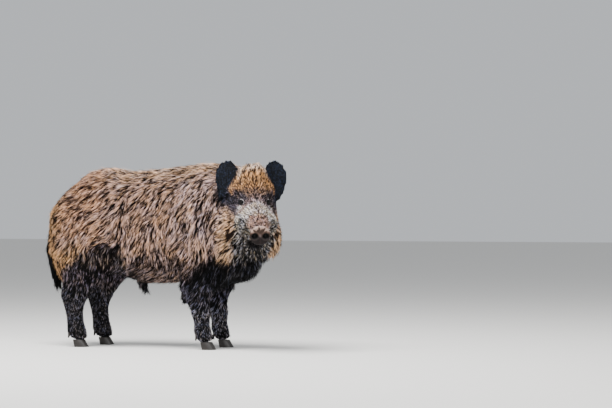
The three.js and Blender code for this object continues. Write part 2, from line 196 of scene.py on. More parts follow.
camera_data = bpy.data.cameras.new("camera")
camera_data.lens = LENS
camera_data.sensor_width = 36
camera = bpy.data.objects.new("camera", camera_data)
bpy.context.scene.collection.objects.link(camera)
camera.location = BODY_ORIGIN + CAMERA_AWAY * array(
    math.sin(CAMERA_AROUND), -math.cos(CAMERA_AROUND), 0
)
camera.location.z = CAMERA_HEIGHT
camera.rotation_euler = (math.radians(90), 0, CAMERA_AROUND - CAMERA_ASIDE)
bpy.context.scene.camera = camera
print("camera at", [round(v, 2) for v in camera.location])

# %% Light and floor
FLOOR_SIZE = 60
bpy.ops.object.select_all(action="DESELECT")
bpy.ops.mesh.primitive_plane_add(size=FLOOR_SIZE, location=(0, 0, 0))
floor = bpy.context.object
floor.name = "floor"


def add_lamp(name, location, size, power, aim=(0, 0, 0.4)):
    """A square soft lamp that shines at a point."""
    bpy.ops.object.light_add(type="AREA", location=location)
    lamp = bpy.context.object
    lamp.name = name
    lamp.data.shape = "SQUARE"
    lamp.data.size = size
    lamp.data.energy = power
    lamp.rotation_euler = (Vector(aim) - Vector(location)).to_track_quat("-Z", "Y").to_euler()


add_lamp("sky", (-0.5, -1.5, 4.2), 2.6, 540)
add_lamp("window", (4.2, -4.2, 3.0), 2.4, 215)

world = bpy.data.worlds.new("room")
bpy.context.scene.world = world
world.use_nodes = True
world.node_tree.nodes["Background"].inputs["Color"].default_value = (*linear("e9edf2"), 1)
world.node_tree.nodes["Background"].inputs["Strength"].default_value = 0.72


# %% [markdown]
# ## Materials
# Every material is built from shader nodes. One small function adds a node, sets it up and links it, so
# that a material reads as a list of its steps. Most finishes here take their colour from an attribute on
# the mesh and make it darker and lighter by a fine pattern, so those few steps are a function too.

# %% The node helpers
def add_node(tree, kind, settings=None, **inputs):
    """Adds a node. Settings are its options; inputs are values, or another node's output."""
    node = tree.nodes.new(kind)
    for name, value in (settings or {}).items():
        setattr(node, name, value)
    for name, value in inputs.items():
        socket = node.inputs[int(name[1:])] if name[0] == "_" else node.inputs[name.replace("_", " ")]
        if isinstance(value, bpy.types.NodeSocket):
            tree.links.new(value, socket)
        else:
            socket.default_value = value
    return node


def new_material(name):
    """An empty material: its node tree and its main shader."""
    material = bpy.data.materials.new(name)
    material.use_nodes = True
    return material, material.node_tree, material.node_tree.nodes["Principled BSDF"]


def colour_by(tree, shader, attribute, pattern, least, most, span=(0.3, 0.7)):
    """Base colour from an attribute, times least to most as the pattern goes over its span."""
    colour = add_node(tree, "ShaderNodeVertexColor", {"layer_name": attribute})
    limits = {"From_Min": span[0], "From_Max": span[1], "To_Min": least, "To_Max": most}
    factor = add_node(tree, "ShaderNodeMapRange", _0=pattern, **limits).outputs[0]
    scaled = {"Vector": colour.outputs["Color"], "Scale": factor}
    tinted = add_node(tree, "ShaderNodeVectorMath", {"operation": "SCALE"}, **scaled)
    tree.links.new(tinted.outputs[0], shader.inputs["Base Color"])


# %% Floor finish
# Matt white studio paint.
floor_paint, tree, shader = new_material("matt_studio_paint")
shader.inputs["Base Color"].default_value = (*linear("dcdad6"), 1)
shader.inputs["Roughness"].default_value = 0.9
floor.data.materials.append(floor_paint)

# %% [markdown]
# ## The hide
# The real animal has one skin with no seams, so the flesh solids are joined and remeshed into one even
# surface, with smaller faces on the head and the smallest round the eyes. Every point remembers which
# solid it came from, because a leg, an ear and the trunk carry hair of different lengths. The solids run
# out to the tips of the coat, so the hide is then drawn inwards by the depth of the coat there.

# %% One surface from the flesh solids
ENDS = ("front", "hind")
LEGS = [f"{part}_{end}_{side}" for part in ("leg", "foot") for end in ENDS for side in SIDES]
EARS = ["ear_right", "ear_left"]
FLESH = ["trunk", "neck", "head", "lower_jaw", *EARS, "tail", "sheath", *LEGS]
SWELLING = 0.6 * MM  # closes the thin cuts between the solids
HIDE_VOXEL = 6.4 * MM

flesh_trees = {}
for name in FLESH:
    solid = copy_of([name], "measure")
    flesh_trees[name] = BVHTree.FromPolygons(
        [v.co for v in solid.data.vertices], [p.vertices for p in solid.data.polygons]
    )
    bpy.data.objects.remove(solid)

hide = copy_of([*FLESH, "eye_right", "eye_left"], "hide")
finish_with(hide, "DISPLACE", strength=SWELLING, mid_level=0)
finish_with(hide, "REMESH", mode="VOXEL", voxel_size=HIDE_VOXEL)


def subdivide_where(chosen):
    """Cuts the hide's faces in four where all their points are chosen."""
    only(hide)
    bpy.ops.object.mode_set(mode="EDIT")
    bpy.ops.mesh.select_mode(type="VERT")
    bpy.ops.mesh.select_all(action="DESELECT")
    bpy.ops.object.mode_set(mode="OBJECT")
    hide.data.vertices.foreach_set("select", chosen)
    bpy.ops.object.mode_set(mode="EDIT")
    bpy.ops.mesh.subdivide(number_cuts=1)
    bpy.ops.object.mode_set(mode="OBJECT")


def distance_to_eye(points):
    """How far each point is from the nearer eye."""
    return np.minimum(*[np.linalg.norm(points - EYES[side], axis=1) for side in SIDES])


hx, hy, hz = in_head(points_of(hide)).T
subdivide_where((hx > -0.3) & (np.abs(hy) < 0.12) & (np.abs(hz - 0.03) < 0.15))
subdivide_where(distance_to_eye(points_of(hide)) < 30 * MM)
print("the hide has", len(hide.data.vertices), "points")

# %% Which solid each point came from
part_of = []
for p in points_of(hide):
    nearest = min((flesh_trees[name].find_nearest(p)[3], n) for n, name in enumerate(FLESH))
    part_of.append(nearest[1])
part_of = np.array(part_of)


def is_part(*names):
    """Which of the hide's points came from these solids."""
    return np.isin(part_of, [FLESH.index(name) for name in names])


def by_solid(table):
    """A table's entry for each flesh solid, found by its name or by the name's first word."""
    return np.array([table[name if name in table else name.split("_")[0]] for name in FLESH])


ears = is_part(*EARS)
on_head = is_part("head", "lower_jaw")


# %% Neighbours, for evening out a value over the hide
edges = np.empty(len(hide.data.edges) * 2, np.int64)
hide.data.edges.foreach_get("vertices", edges)
edges = edges.reshape(-1, 2)
neighbours = np.bincount(edges.ravel(), minlength=len(hide.data.vertices)).astype(float)


def evened(values, rounds):
    """Values with each one drawn towards its neighbours' mean, so many times."""
    values = np.array(values, float)
    for _ in range(rounds):
        for n in range(values.shape[1] if values.ndim > 1 else 1):
            column = values[:, n] if values.ndim > 1 else values
            total = np.bincount(edges[:, 0], column[edges[:, 1]], len(column))
            total += np.bincount(edges[:, 1], column[edges[:, 0]], len(column))
            column[:] = 0.5 * column + 0.5 * total / neighbours
    return values


# %% Facets smoothed away
SMOOTHING = {"trunk": 1.0, "neck": 1.0, "head": 0.35, "lower_jaw": 0.5, "ear": 1.0}
SMOOTHING |= {"tail": 0.5, "sheath": 0.55, "leg": 0.55, "foot": 0.55}
co = points_of(hide)
share = evened(by_solid(SMOOTHING)[part_of], 6) * ramp(0.05, 0.11, co[:, 2])  # none at the hooves
smooth = evened(co, 24)
smooth[ears] = evened(co, 4)[ears]  # an ear would shrink away with more
move_points(hide, co + (smooth - co) * share[:, None])

# %% Drawn in by the depth of the coat
COAT_DEPTH = {"trunk": 24, "neck": 25, "head": 7, "lower_jaw": 12, "ear": 2}  # mm
COAT_DEPTH |= {"tail": 8, "sheath": 8, "leg": 9, "foot": 5}
DRAWS = 3  # it is drawn in bit by bit and smoothed between, so that it doesn't fold over itself
depth = by_solid(COAT_DEPTH)[part_of] * MM
hx, hy, hz = in_head(co).T
whiskers = on_head * ramp(-0.12, -0.2, hx) * ramp(0.02, -0.08, hz)
crown = on_head * ramp(-0.27, -0.33, hx) * ramp(0.09, 0.15, hz)
depth = depth + whiskers * 17 * MM + crown * 9 * MM
depth = evened(depth, 10)
depth[ears] = COAT_DEPTH["ear"] * MM
depth = evened(depth, 2)
depth *= 1 - 0.6 * ramp(38 * MM, 20 * MM, distance_to_eye(co))
depth *= 1 - 0.75 * ramp(-0.05, -0.02, hx) * on_head
depth *= 1 - 0.8 * ramp(0.075, 0.045, co[:, 2])

for _ in range(DRAWS):
    move_points(hide, points_of(hide) - normals_of(hide) * depth[:, None] / DRAWS)
    co = points_of(hide)
    move_points(hide, co + (evened(co, 3) - co) * np.minimum(share, 0.7)[:, None])
print("the coat is", (depth.min() / MM).round(1), "to", (depth.max() / MM).round(1), "mm deep")

# %% [markdown]
# ## The face
# The bare hide of the head carries what hair can't: lids, brows, the line of the mouth, the folds behind
# the snout disc. They are pressed into the finer mesh there by small functions of the head's own axes,
# as thumbs and a loop tool would press them into clay. A boar's lids have bare, nearly black edges, and
# a pale painted highlight runs over the upper one and round the inner corner, where light catches the
# lid.

# %% Lids round the eyes
EYE_RADIUS = 12.5 * MM
LID_THICKNESS = 1.4 * MM
OPENING = (11.0 * MM, 8.4 * MM)  # half the length and half the height of the slit
LIDS_END = 22 * MM  # from the middle of the eye

EYE_AXES = {}
# how much painted highlight lies over each point of the upper lid, and how dark each bare lid edge is
lid_highlight = np.zeros(len(hide.data.vertices))
dark_lid = np.zeros(len(hide.data.vertices))
for side, sign in SIDES.items():
    facing = unit(array(0.72, 0.60 * sign, 0.36)) @ HEAD_AXES
    up = unit(np.cross(facing, np.cross(array(-0.35, 0.0, 1.0) @ HEAD_AXES, facing)))
    along = np.cross(up, facing)
    co = points_of(hide)
    away = co - EYES[side]
    distance = np.linalg.norm(away, axis=1)
    slit = np.hypot(away @ along / OPENING[0], away @ up / OPENING[1])
    EYE_AXES[side] = facing, along, up
    lid = EYE_RADIUS + LID_THICKNESS * (1 + 0.9 * ramp(1.9, 1.15, slit))
    lid = lid - (LID_THICKNESS * 2 + 1.6 * MM) * ramp(1.12, 0.92, slit)
    across = np.linalg.norm(away - (away @ facing)[:, None] * facing, axis=1)
    reach = (away @ facing > -4 * MM) * ramp(27 * MM, 12 * MM, across) * (distance < 30 * MM)
    target = EYES[side] + unit(away) * lid[:, None]
    wanted = np.where((distance < lid) | (slit < 1.12), 1.0, 0.55) * reach
    move_points(hide, co + (target - co) * wanted[:, None])
    # a band over the upper lid and round the inner corner, which gets a painted highlight
    lid_highlight_band = ramp(1.35, 1.5, slit) * ramp(2.1, 1.85, slit) * (distance < LIDS_END)
    dark_lid += ramp(1.9, 1.4, slit) * (distance < LIDS_END)
    inner = np.sign(along @ HEAD_AXES[1]) * -sign  # which way along the slit the inner corner lies
    round_eye = np.arctan2(away @ up, away @ along * inner)
    lid_highlight += lid_highlight_band * ramp(-0.9, -0.3, round_eye) * ramp(2.3, 1.8, round_eye)
print("each eye shows through a slit", OPENING[0] * 2 / MM, "by", OPENING[1] * 2 / MM, "mm")

# %% Mouth line, brows and snout folds
hx, hy, hz = in_head(points_of(hide)).T
side_of_muzzle = on_head * ramp(0.012, 0.022, np.abs(hy)) * ramp(-0.17, -0.14, hx)
side_of_muzzle = side_of_muzzle * ramp(-0.01, -0.03, hx)
mouth = side_of_muzzle * np.exp(-(((hz + 0.034 + 0.12 * (hx + 0.1)) / (3.5 * MM)) ** 2))
brow_line = hz - 0.083 + 0.25 * (hx + 0.22)
brow = on_head * np.exp(-((brow_line / (9 * MM)) ** 2) - (((np.abs(hy) - 0.058) / (20 * MM)) ** 2))
brow = brow * ramp(-0.27, -0.24, hx)
folds = on_head * np.exp(-(((hx + 0.052 - 0.3 * np.abs(hy)) / (3 * MM)) ** 2)) * ramp(-0.01, 0.01, hz)
relief = -3.0 * mouth + 4.5 * brow - 1.2 * folds  # mm
move_points(hide, points_of(hide) + normals_of(hide) * relief[:, None] * MM)
only(hide)
bpy.ops.object.shade_smooth()
co = points_of(hide)
to_eye = distance_to_eye(co)
print("relief from", relief.min().round(1), "to", relief.max().round(1), "mm")

# %% [markdown]
# ## Markings
# The winter coat is grizzled: dark at the root and pale at the tip. It is tan on the back and rump,
# nearly black on legs, chest, tail and ears, ginger on the forehead, cream on the crown and buff on the
# whiskers, with a pale band across the muzzle. Painted shade is laid in as well: the chest is darkened
# where the head shades it, the underside is darkened against the light from the pale floor, and shadows
# are painted along the fold, the crease and the parting of the flank. The colours are worked out once,
# at the points of the hide, and both the hide and the hair on it take them from there. Each line lays one
# colour over those before it, between edges that are given in metres along the body's or the head's own
# axes, as a taxidermist chalks them on the form.

# %% Colours of the coat
COAT = {  # hair at its darkest, its middle and its lightest
    "back": "403028 947460 f0c8a8",
    "flank": "1c0c08 70584c f0c4ac",
    "low_flank": "2c140c 58443c 70605c",
    "shoulder": "200c08 604c48 d0b0a4",
    "rump": "503028 846458 e4b494",
    # the painted shadow in the fold between haunch and belly
    "rump_edge": "1c1010 705440 c89c70",
    "fold_shadow": "0c080c 140c18 181424",
    "thigh": "040404 342834 6c6068",
    "hind_leg": "040404 181420 605c64",
    "foreleg": "0c0c14 2c2834 5c5864",
    "foreleg_low": "0c0c10 383440 78747c",
    # nearly black hair, darkened further as painted shade where the head hangs over the chest
    "chest_and_shade": "040408 141418 34343c",
    "belly": "241410 583c34 847068",
    "tail": "040404 040404 08080c",
    "ear": "040408 10141c 202838",
    "crown": "785840 c49c7c e8ccb4",
    "forehead": "3c201c 684838 a07850",
    "brow": "14101c 443844 605454",
    "bridge": "282020 503c3c 8c7470",
    "band": "7c6054 e8bcb0 fff8ec",
    "snout_top": "382824 645450 a48074",
    "snout_side": "141414 44403c 948c84",
    "chin": "040404 0c080c 1c181c",
    "cheek": "604438 b48c74 f0c8a8",
    "cheek_top": "20141c 403438 544c54",
    "jaw": "181418 404044 98908c",
    "haunch_low": "1c0c0c 504040 746864",
    "gold": "402818 886440 c8a070",
}
SHADES = {name: np.array([linear(c) for c in text.split()]) for name, text in COAT.items()}
markings = np.tile(SHADES["flank"], (len(co), 1, 1))


def paint(name, amount):
    """Lays one colour of hair over the markings, by an amount from 0 to 1 at each point."""
    amount = np.clip(amount, 0, 1)[:, None, None]
    markings[:] = markings * (1 - amount) + SHADES[name] * amount


# %% Body markings
bx, by, bz = in_body(co).T
ripple = 0.012 * np.sin(bx * 41 + 1.3) + 0.008 * np.sin(bx * 97 + by * 30)  # no edge is a straight line
bzr = bz + ripple
paint("back", ramp(0.70, 0.80, bzr))
paint("low_flank", ramp(0.475, 0.375, bzr))
paint("shoulder", ramp(0.06, 0.18, bx) * ramp(0.42, 0.50, bzr) * ramp(0.80, 0.72, bzr))
paint("rump", ramp(-0.20, -0.32, bx) * ramp(0.45, 0.55, bzr))
paint("belly", ramp(0.36, 0.32, bzr))
# the underside painted darker, as shade against the light that the pale floor throws up
paint("thigh", 0.7 * ramp(0.310, 0.285, bz))
haunch_edge = np.minimum(0.462, 0.462 + 1.1 * (bx + 0.31))  # it drops towards the buttock
in_haunch = ramp(-0.13, -0.17, bx) * ramp(0.25, 0.3, haunch_edge)
paint("rump_edge", np.maximum(ramp(-0.42, -0.50, bx), ramp(0.50, 0.42, bzr)) * ramp(-0.28, -0.38, bx))
paint("crown", 0.7 * evened(is_part("neck"), 6) * ramp(0.76, 0.80, bz) * ramp(0.30, 0.36, bx))
paint("haunch_low", in_haunch * ramp(0.012, -0.012, bzr - haunch_edge))
# a shadow painted along the fold under the haunch, with a fainter one below it
fold_shadow = np.exp(-(((bzr - haunch_edge + 0.004) / (9 * MM)) ** 2)) * ramp(-0.37, -0.33, bx)
fold_shadow += 0.8 * np.exp(-(((bzr - haunch_edge + 0.050) / (8 * MM)) ** 2)) * ramp(-0.33, -0.28, bx)
paint("fold_shadow", in_haunch * fold_shadow)
paint("thigh", in_haunch * ramp(-0.075, -0.115, bzr - haunch_edge))
# a shadow painted along the crease in the flank, which rises towards the front
crease_shadow = np.minimum(0.470, 0.455 + 0.06 * (bx + 0.33)) + 1.1 * np.maximum(bx + 0.175, 0)
crease_shadow = np.exp(-(((bz - crease_shadow) / (10 * MM)) ** 2)) * ramp(-0.36, -0.31, bx) * ramp(-0.10, -0.13, bx)
# a shadow painted down the parting between rump and flank
parting_shadow = -0.152 + 0.05 * (bz - 0.62)
parting_shadow = np.exp(-(((bx - parting_shadow) / (7 * MM)) ** 2)) * ramp(0.53, 0.57, bz) * ramp(0.71, 0.67, bz)
paint("thigh", 0.9 * crease_shadow)
paint("thigh", 0.8 * parting_shadow)
# the chest's nearly black hair, with painted shade under the head
paint("chest_and_shade", ramp(0.018, -0.018, bzr - 0.29 - 0.95 * (bx - 0.148)) * ramp(0.10, 0.15, bx))
paint("chest_and_shade", ramp(0.02, -0.02, bzr - 0.29) * ramp(0.07, 0.12, bx))
paint("chest_and_shade", ramp(0.43, 0.40, bzr) * ramp(0.29, 0.33, bx))

# %% Leg and tail markings
hind = evened(is_part(*[name for name in LEGS if "hind" in name]), 3)
front = evened(is_part(*[name for name in LEGS if "front" in name]), 3)
paint("haunch_low", hind * ramp(0.39, 0.36, bzr) * ramp(0.30, 0.34, bzr))
paint("thigh", hind * ramp(0.385, 0.345, bzr))
paint("rump_edge", hind * ramp(-0.44, -0.48, bx) * ramp(0.30, 0.34, bzr))
paint("hind_leg", hind * ramp(0.32, 0.24, bz))
paint("foreleg", front * ramp(0.34, 0.27, bzr))
paint("foreleg_low", front * ramp(0.21, 0.17, bz))
paint("tail", evened(is_part("tail"), 2) * ramp(0.56, 0.52, bz))
paint("chest_and_shade", evened(is_part("sheath"), 2))

# %% Head markings
face = evened(on_head, 3)
ay = np.abs(hy)
wander = 0.005 * np.sin(ay * 170) + 0.003 * np.sin(hz * 260)


def spot(x, y, z, size):
    """A soft round patch on both sides of the head, this far out from the middle."""
    return face * np.exp(-((hx - x) ** 2 + (ay - y) ** 2 + (hz - z) ** 2) / size**2)


band_edge = -0.090 - 1.1 * np.maximum(ay - 0.045, 0) + wander  # the pale band's end towards the disc
paint("cheek_top", face)
paint("cheek", face * ramp(-0.15, -0.19, hx) * ramp(0.02, -0.03, hz) * ramp(0.05, 0.075, ay))
paint("gold", 0.6 * face * ramp(0.085, 0.10, ay) * ramp(-0.05, -0.10, hz) * ramp(-0.26, -0.21, hx))
paint("brow", face * ramp(-0.27, -0.24, hx) * ramp(0.01, 0.03, hz) * ramp(0.085, 0.070, ay))
paint("bridge", face * ramp(-0.20, -0.175, hx + wander) * ramp(0.0, 0.02, hz) * ramp(0.080, 0.065, ay))
top_of_band = ramp(-0.165, -0.140, hx + wander)
paint("band", face * top_of_band * ramp(-0.012, 0.012, hz) * (0.45 + 0.55 * ramp(0.018, 0.042, ay)))
ginger = 0.4 * ramp(0.088, 0.106, hz) + 0.6 * ramp(0.115, 0.135, hz + 0.035 * ramp(0.03, 0.065, ay))
paint("forehead", face * ginger * ramp(-0.17, -0.20, hx))
paint("forehead", face * ramp(0.060, 0.075, hz) * ramp(0.080, 0.090, ay) * ramp(-0.25, -0.27, hx))
top_of_head = np.maximum(ramp(0.170, 0.184, hz), ramp(-0.290, -0.315, hx))
paint("crown", face * top_of_head * ramp(0.115, 0.145, hz))
past_band = ramp(band_edge - 0.012, band_edge + 0.010, hx) * ramp(-0.15, -0.14, hx)
paint("snout_side", face * np.maximum(past_band, ramp(0.012, -0.008, hz) * ramp(-0.165, -0.15, hx)))
paint("snout_top", 0.85 * face * past_band * ramp(0.060, 0.032, ay) * ramp(0.0, 0.015, hz))
paint("jaw", 0.8 * spot(-0.078, 0.066, 0.000, 0.010))
under = face * ramp(-0.02, -0.04, hz)
paint("jaw", under * ramp(0.092, 0.070, ay))
paint("jaw", is_part("lower_jaw") * ramp(-0.02, -0.04, hz))
in_front = ramp(-0.115, -0.095, hx) * ramp(0.050, 0.038, ay)
paint("chin", under * ramp(-0.045, -0.060, hz) * in_front * (1 - 0.7 * ramp(-0.085, -0.100, hz)))
behind_chin = ramp(-0.090, -0.110, hz) * ramp(-0.200, -0.165, hx) * ramp(0.052, 0.036, ay)
paint("chin", 0.5 * under * behind_chin)
# under the throat: dark hair, with painted shade
paint("chest_and_shade", face * ramp(-0.185, -0.215, hz) * ramp(0.08, 0.05, ay))
paint("chest_and_shade", face * ramp(0.425, 0.400, bz) * ramp(-0.14, -0.18, hx))
paint("ear", 0.5 * spot(-0.240, 0.068, 0.090, 0.018))  # over the eye
paint("ear", 0.85 * spot(-0.250, 0.090, 0.048, 0.014))  # behind its outer corner
paint("ear", 0.85 * spot(-0.275, 0.102, 0.036, 0.017))
paint("ear", 0.6 * ramp(21 * MM, 14 * MM, to_eye))
paint("band", spot(-0.192, 0.066, 0.036, 0.011))  # under the eye
paint("ear", np.minimum(1.4 * spot(-0.328, 0.118, 0.035, 0.040), 1) * ramp(-0.27, -0.29, hx))
paint("ear", 1.3 * np.exp(-((hx + 0.330) ** 2 + (ay - 0.122) ** 2 + (hz - 0.016) ** 2) / 0.030**2))
paint("ear", evened(ears, 2) * 1.1)
tones = markings.mean(axis=(1, 2))
print("the markings' mean tone goes from", tones.min().round(3), "to", tones.max().round(3))

# %% [markdown]
# ## The lie of the coat
# Hair has a direction, a length and a density at every place, and a coat looks right when these change
# smoothly over the animal. So they are kept as values at the hide's points and evened out from point to
# point. On the trunk the hair runs back along the top, then curves down the flank. It runs down the
# legs, back over the face, down the whiskers and up the ears.

# %% Combing the body
lie = np.zeros_like(co)


def comb(x, y, z, amount, axes=np.eye(3)):
    """Combs the hair this way, by an amount from 0 to 1 at each point."""
    share_of = np.clip(amount, 0, 1)[:, None]
    way = np.column_stack([np.zeros(len(co)) + v for v in (x, y, z)])
    lie[:] = lie * (1 - share_of) + (unit(way) @ axes) * share_of


comb(-0.85, 0, -0.42, np.ones(len(co)))
comb(-0.40, 0, -0.90, ramp(0.80, 0.66, bz))
comb(-0.22, 0, -0.97, ramp(0.60, 0.48, bz))
comb(-0.68, 0, -0.72, ramp(-0.145, -0.165, bx) * ramp(0.44, 0.50, bz))
at_parting = ramp(-0.17, -0.15, bx) * ramp(-0.08, -0.14, bx)
comb(-0.05, 0, -1, at_parting * ramp(0.76, 0.70, bz) * ramp(0.44, 0.5, bz))
comb(-0.20, 0, -0.95, ramp(-0.44, -0.54, bx) * ramp(0.75, 0.6, bz))
comb(-0.75, 0, -0.50, ramp(0.42, 0.36, bz) * ramp(0.12, 0.0, bx) * ramp(-0.3, -0.2, bx))
comb(-0.25, 0, -1, evened(is_part("neck"), 8) * ramp(0.74, 0.64, bz))
comb(-0.34, 0, -0.94, ramp(0.02, 0.14, bx) * ramp(0.80, 0.72, bz))
comb(-0.60, 0.1, -0.75, evened(is_part("neck"), 8) * ramp(0.68, 0.78, bz))
comb(-0.25, 0, -1, ramp(0.52, 0.44, bz) * ramp(0.16, 0.24, bx))
comb(-0.22, 0, -1, np.maximum(hind, front))
comb(-0.65, 0, -0.75, front * ramp(0.17, 0.21, bz) * ramp(0.235, 0.19, bx))
comb(0.05, 0, -1, evened(is_part("tail", "sheath"), 2))
comb(0.25, 0, -1, ramp(0.09, 0.06, bz))

# %% Combing the head and the ears
out = np.sign(hy)
comb(-1, 0.25 * out, 0.12, face, HEAD_AXES)
comb(-0.62, 0.38 * out, 0.75, face * ramp(-0.19, -0.23, hx) * ramp(0.06, 0.09, hz), HEAD_AXES)
comb(-0.35, 0.22 * out, 0.9, face * ramp(0.12, 0.15, hz), HEAD_AXES)
comb(-0.62, 0.55 * out, -0.55, face * ramp(0.03, -0.02, hz) * ramp(-0.1, -0.17, hx), HEAD_AXES)
comb(-0.30, 0.25 * out, -0.95, face * ramp(-0.03, -0.08, hz), HEAD_AXES)
for name in EARS:
    this_ear = is_part(name)
    ear_root, ear_tip = co[this_ear][[np.argmin(bz[this_ear]), np.argmax(bz[this_ear])]]
    from_root = co - ear_root - (ear_tip - ear_root) * 0.25
    comb(*(from_root * array(1, 1, 0.6) + array(0, 0, 0.035)).T, this_ear * 1.0)
lie = lie - (lie * normals_of(hide)).sum(axis=1)[:, None] * normals_of(hide)
lie = unit(evened(unit(lie), 4))
print("the hair runs back by", (-lie[:, 0]).mean().round(2), "and down by", (-lie[:, 2]).mean().round(2))

# %% Length, width and density
HAIR = {  # length mm, width mm, tufts in a square centimetre
    "trunk": (52, 2.2, 6.3),
    "neck": (52, 2.2, 6.3),
    "head": (14, 1.5, 13.0),
    "lower_jaw": (28, 2.0, 7.6),
    "tail": (46, 2.2, 12.0),
    "sheath": (46, 2.2, 10.0),
    "ear": (7.5, 1.0, 24.0),
    "leg": (30, 1.9, 7.0),
    "foot": (14, 1.6, 10.0),
}
length, width, density = evened(by_solid(HAIR)[part_of], 6).T
length[ears] = HAIR["ear"][0]


def change(values, wanted, amount):
    """Draws values towards a wanted one, by an amount from 0 to 1 at each point."""
    values[:] = values + (wanted - values) * np.clip(amount, 0, 1)


change(length, 9, face * ramp(-0.13, -0.08, hx))
change(length, 26, face * ramp(0.12, 0.15, hz))
change(length, 44, face * ramp(-0.16, -0.22, hx) * ramp(-0.01, -0.06, hz))
change(width, 2.6, face * ramp(-0.16, -0.22, hx) * ramp(-0.01, -0.06, hz))
change(length, 7, ramp(30 * MM, 17 * MM, to_eye))
change(width, 1.3, ramp(40 * MM, 17 * MM, to_eye))
change(length, 66, ramp(0.42, 0.34, bz) * ramp(0.12, 0.2, bx) * (1 - front) * (1 - face))
change(length, 64, ramp(0.55, 0.35, bz) * evened(is_part("tail"), 2))
change(length, 20, ramp(0.075, 0.05, bz))
change(width, 1.6, ramp(0.075, 0.05, bz))
change(density, 16, face * ramp(-0.17, -0.10, hx))
change(density, 18, ramp(40 * MM, 17 * MM, to_eye))
bare = (to_eye < 15 * MM) | ((face > 0.5) & (hx > -0.020)) | (co[:, 2] < 18 * MM)
density[bare] = 0
print("hair", length.min().round(), "to", length.max().round(), "mm long")

# %% [markdown]
# ## Growing the hair
# Particle hair would be lost when the model is exported, so each tuft is a real, thin solid: three sided
# at the root and along its length, tapering to a point, ten small triangles in all. Its root is a
# random place on the hide, its middle rises out of the coat and its tip lies back at the coat's
# surface, following the curve of the body. Neighbouring tufts are drawn together at their tips into the
# strands and locks that worn winter hair forms. The tufts of a region are a few large meshes, written
# with arrays.

# %% Roots
SEED = 7
rng = np.random.default_rng(SEED)
hide.data.calc_loop_triangles()
triangles = np.empty(len(hide.data.loop_triangles) * 3, np.int32)
hide.data.loop_triangles.foreach_get("vertices", triangles)
triangles = triangles.reshape(-1, 3)
corners = co[triangles]
sides = corners[:, 1] - corners[:, 0], corners[:, 2] - corners[:, 0]
area = np.linalg.norm(np.cross(*sides), axis=1) / 2
haired = density[triangles].min(axis=1) > 0
expected = np.cumsum(area * 1e4 * density[triangles].mean(axis=1) * haired)
count = int(expected[-1])
home = np.searchsorted(expected, (np.arange(count) + rng.random(count)) * expected[-1] / count)
u, v = rng.random((2, count))
u, v = np.where(u + v > 1, 1 - u, u), np.where(u + v > 1, 1 - v, v)
weights = np.column_stack([1 - u - v, u, v])


def at_roots(values):
    """The hide's values at each root, mixed from the three points around it."""
    found = values[triangles[home]]
    return (found * weights.reshape(weights.shape + (1,) * (found.ndim - 2))).sum(axis=1)


root = at_roots(co)
normal = unit(at_roots(normals_of(hide)))
root_part = part_of[triangles[home, 0]]
print(count, "tufts, of", 10 * count, "triangles")

# %% Strands and locks
STRAND = {"trunk": 4.2, "neck": 4.0, "head": 2.8, "lower_jaw": 3.6, "ear": 3}  # mm apart
STRAND |= {"tail": 4, "sheath": 4, "leg": 3.6, "foot": 3}
LOCK = 2.6  # strands across
strand_size = (by_solid(STRAND) * MM)[root_part]


def bunches(size):
    """Picks leaders about this far apart, and finds each tuft's nearest one."""
    crowd = at_roots(density) * 1e4 * size**2
    leaders = np.flatnonzero(rng.random(count) < 1 / np.maximum(crowd, 1))
    tree = KDTree(len(leaders))
    for n, r in enumerate(root[leaders]):
        tree.insert(r, n)
    tree.balance()
    return leaders, np.array([tree.find(r)[1] for r in root])


strand_leaders, strand = bunches(strand_size)
lock_leaders, lock = bunches(strand_size * LOCK)


def strand_chance():
    """A random value for each strand, shared by all its tufts."""
    return rng.normal(size=len(strand_leaders))[strand]


def lock_chance():
    """A random value for each lock, shared by all its tufts."""
    return rng.normal(size=len(lock_leaders))[lock]


print(len(strand_leaders), "strands in", len(lock_leaders), "locks")


# %% Wandering, so that no two locks lie alike
def waves(points, size, seed):
    """A smooth wandering value from about -1 to 1 that changes over this size."""
    mix = np.random.default_rng(seed)
    total = np.zeros(len(points))
    for _ in range(6):
        way = unit(mix.normal(size=3)) * mix.uniform(0.7, 1.6) * 2 * math.pi / size
        total += np.sin(points @ way + mix.uniform(0, 6.3))
    return total / 2.6


def turned(turn, forward, out):
    """Directions turned in the hide's plane by these angles, and the directions beside them."""
    aside = np.cross(out, forward)
    c, s = np.cos(turn)[:, None], np.sin(turn)[:, None]
    return forward * c + aside * s, aside * c - forward * s


def way_of_coat(places, out, lie_there):
    """The lie of the coat at these places on the hide, wandering as real hair does."""
    along = unit(lie_there - (lie_there * out).sum(axis=1)[:, None] * out)
    return turned((0.24 * waves(places, 0.17, 1) + 0.16 * waves(places, 0.06, 2)) * freedom, along, out)


long_hair = np.clip(at_roots(length) / 50, 0.15, 1.2)
freedom = np.clip(long_hair * 1.6, 0.45, 1)
forward, aside = way_of_coat(root, normal, at_roots(lie))

# %% Bunches turn together
turn = 0.10 * lock_chance() + 0.08 * strand_chance() + 0.06 * rng.normal(size=count)
forward, aside = turned(turn * freedom, forward, normal)

